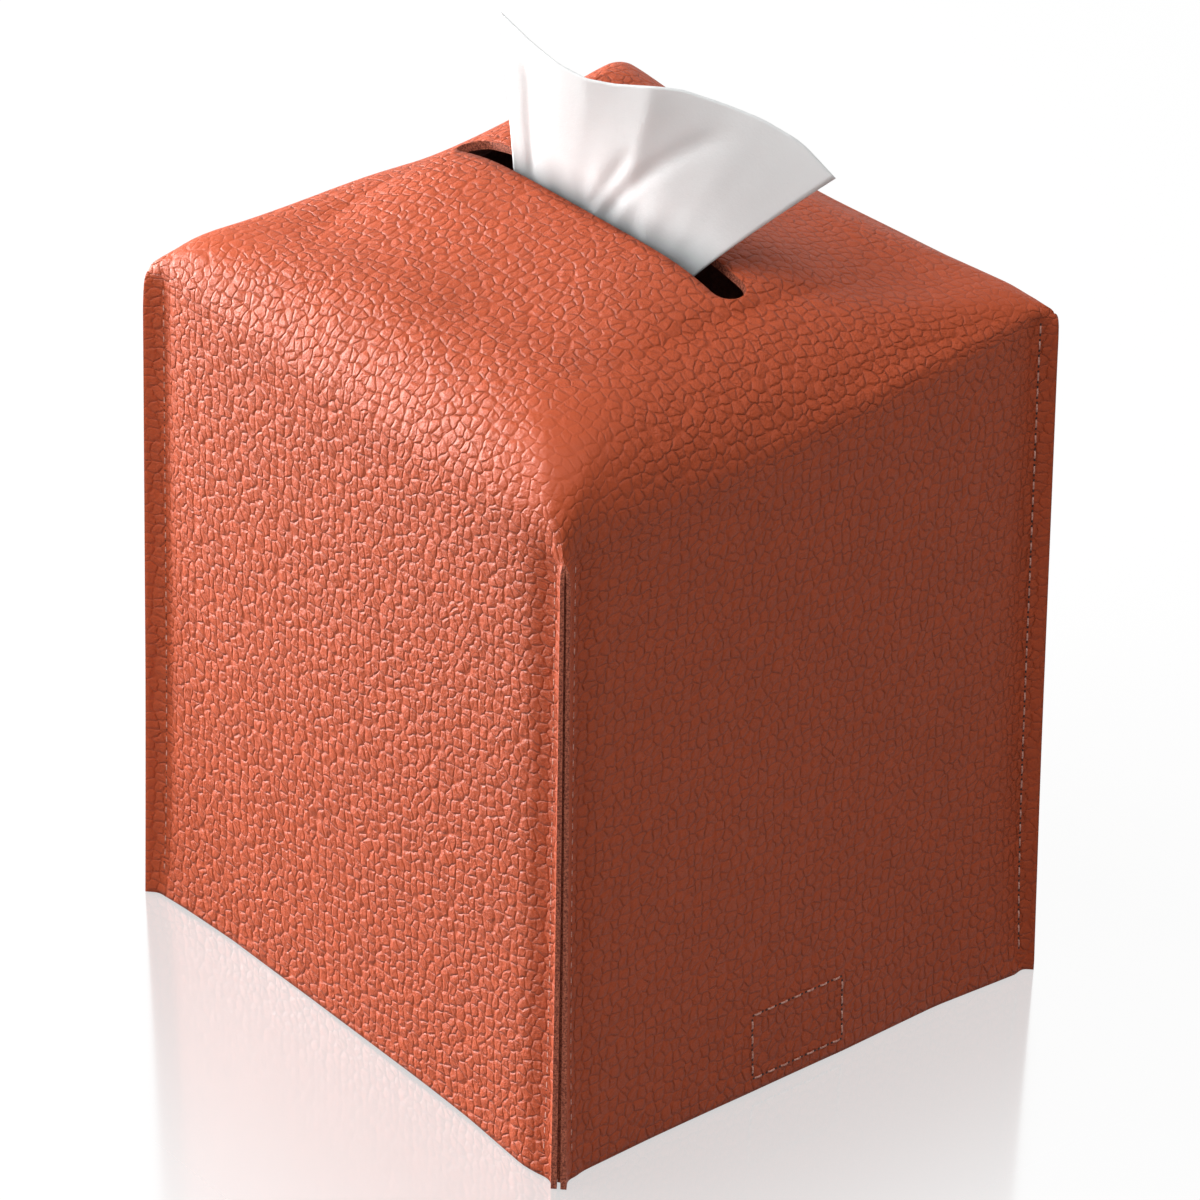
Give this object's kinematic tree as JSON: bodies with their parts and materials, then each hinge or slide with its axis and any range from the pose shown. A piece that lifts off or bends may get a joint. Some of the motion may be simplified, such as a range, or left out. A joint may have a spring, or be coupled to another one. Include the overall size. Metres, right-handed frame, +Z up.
{
  "type": "tissue box cover",
  "caption": "Square leather cover for a cube tissue carton, with a slot in the domed top, sewn corner seams, strap closure below and a tissue in the slot.",
  "frame": {"origin": "on the table under the middle of the cover", "axes": "+Z up, +X to the cover's right along the slot, -Y to its front"},
  "size_m": [0.1346, 0.1266, 0.1945],
  "materials": {
    "leather": "pebbled grain, satin sheen",
    "lining": "short felted fibre, matt",
    "thread": "twisted polyester thread",
    "strap_leather": "pebbled grain, satin sheen",
    "hook": "woven tape with fine moulded hooks",
    "loop": "brushed loop pile",
    "tissue": "soft creped paper, matt"
  },
  "bodies": {
    "cover": {"outer_leather": "leather", "inner_lining": "lining", "seam_stitches_front_right": "thread", "seam_stitches_back_right": "thread", "seam_stitches_back_left": "thread", "seam_stitches_front_left": "thread", "right_tab": "strap_leather", "left_tab": "strap_leather", "right_tab_stitches": "thread", "left_tab_stitches": "thread"},
    "right_strap": {"long_strap": "strap_leather", "hook_tape": "hook", "hook_tape_stitches": "thread"},
    "left_strap": {"short_strap": "strap_leather", "loop_tape": "loop", "loop_tape_stitches": "thread"},
    "tissue": {"tissue_sheet": "tissue"}
  },
  "joints": [
    {"name": "right_strap_fold", "type": "hinge", "parent": "cover", "child": "right_strap", "pos_m": [0.0614, 0, 0.00125], "axis": [0, -1, 0], "range_deg": [0, 110]},
    {"name": "left_strap_fold", "type": "hinge", "parent": "cover", "child": "left_strap", "pos_m": [-0.0614, 0, 0.00125], "axis": [0, 1, 0], "range_deg": [0, 110]},
    {"name": "tissue_pull", "type": "slide", "parent": "cover", "child": "tissue", "axis": [0, 0, 1], "range_m": [0, 0.035]}
  ],
  "couplings": [
    {"joint": "left_strap_fold", "follows": "right_strap_fold", "ratio": 1}
  ]
}
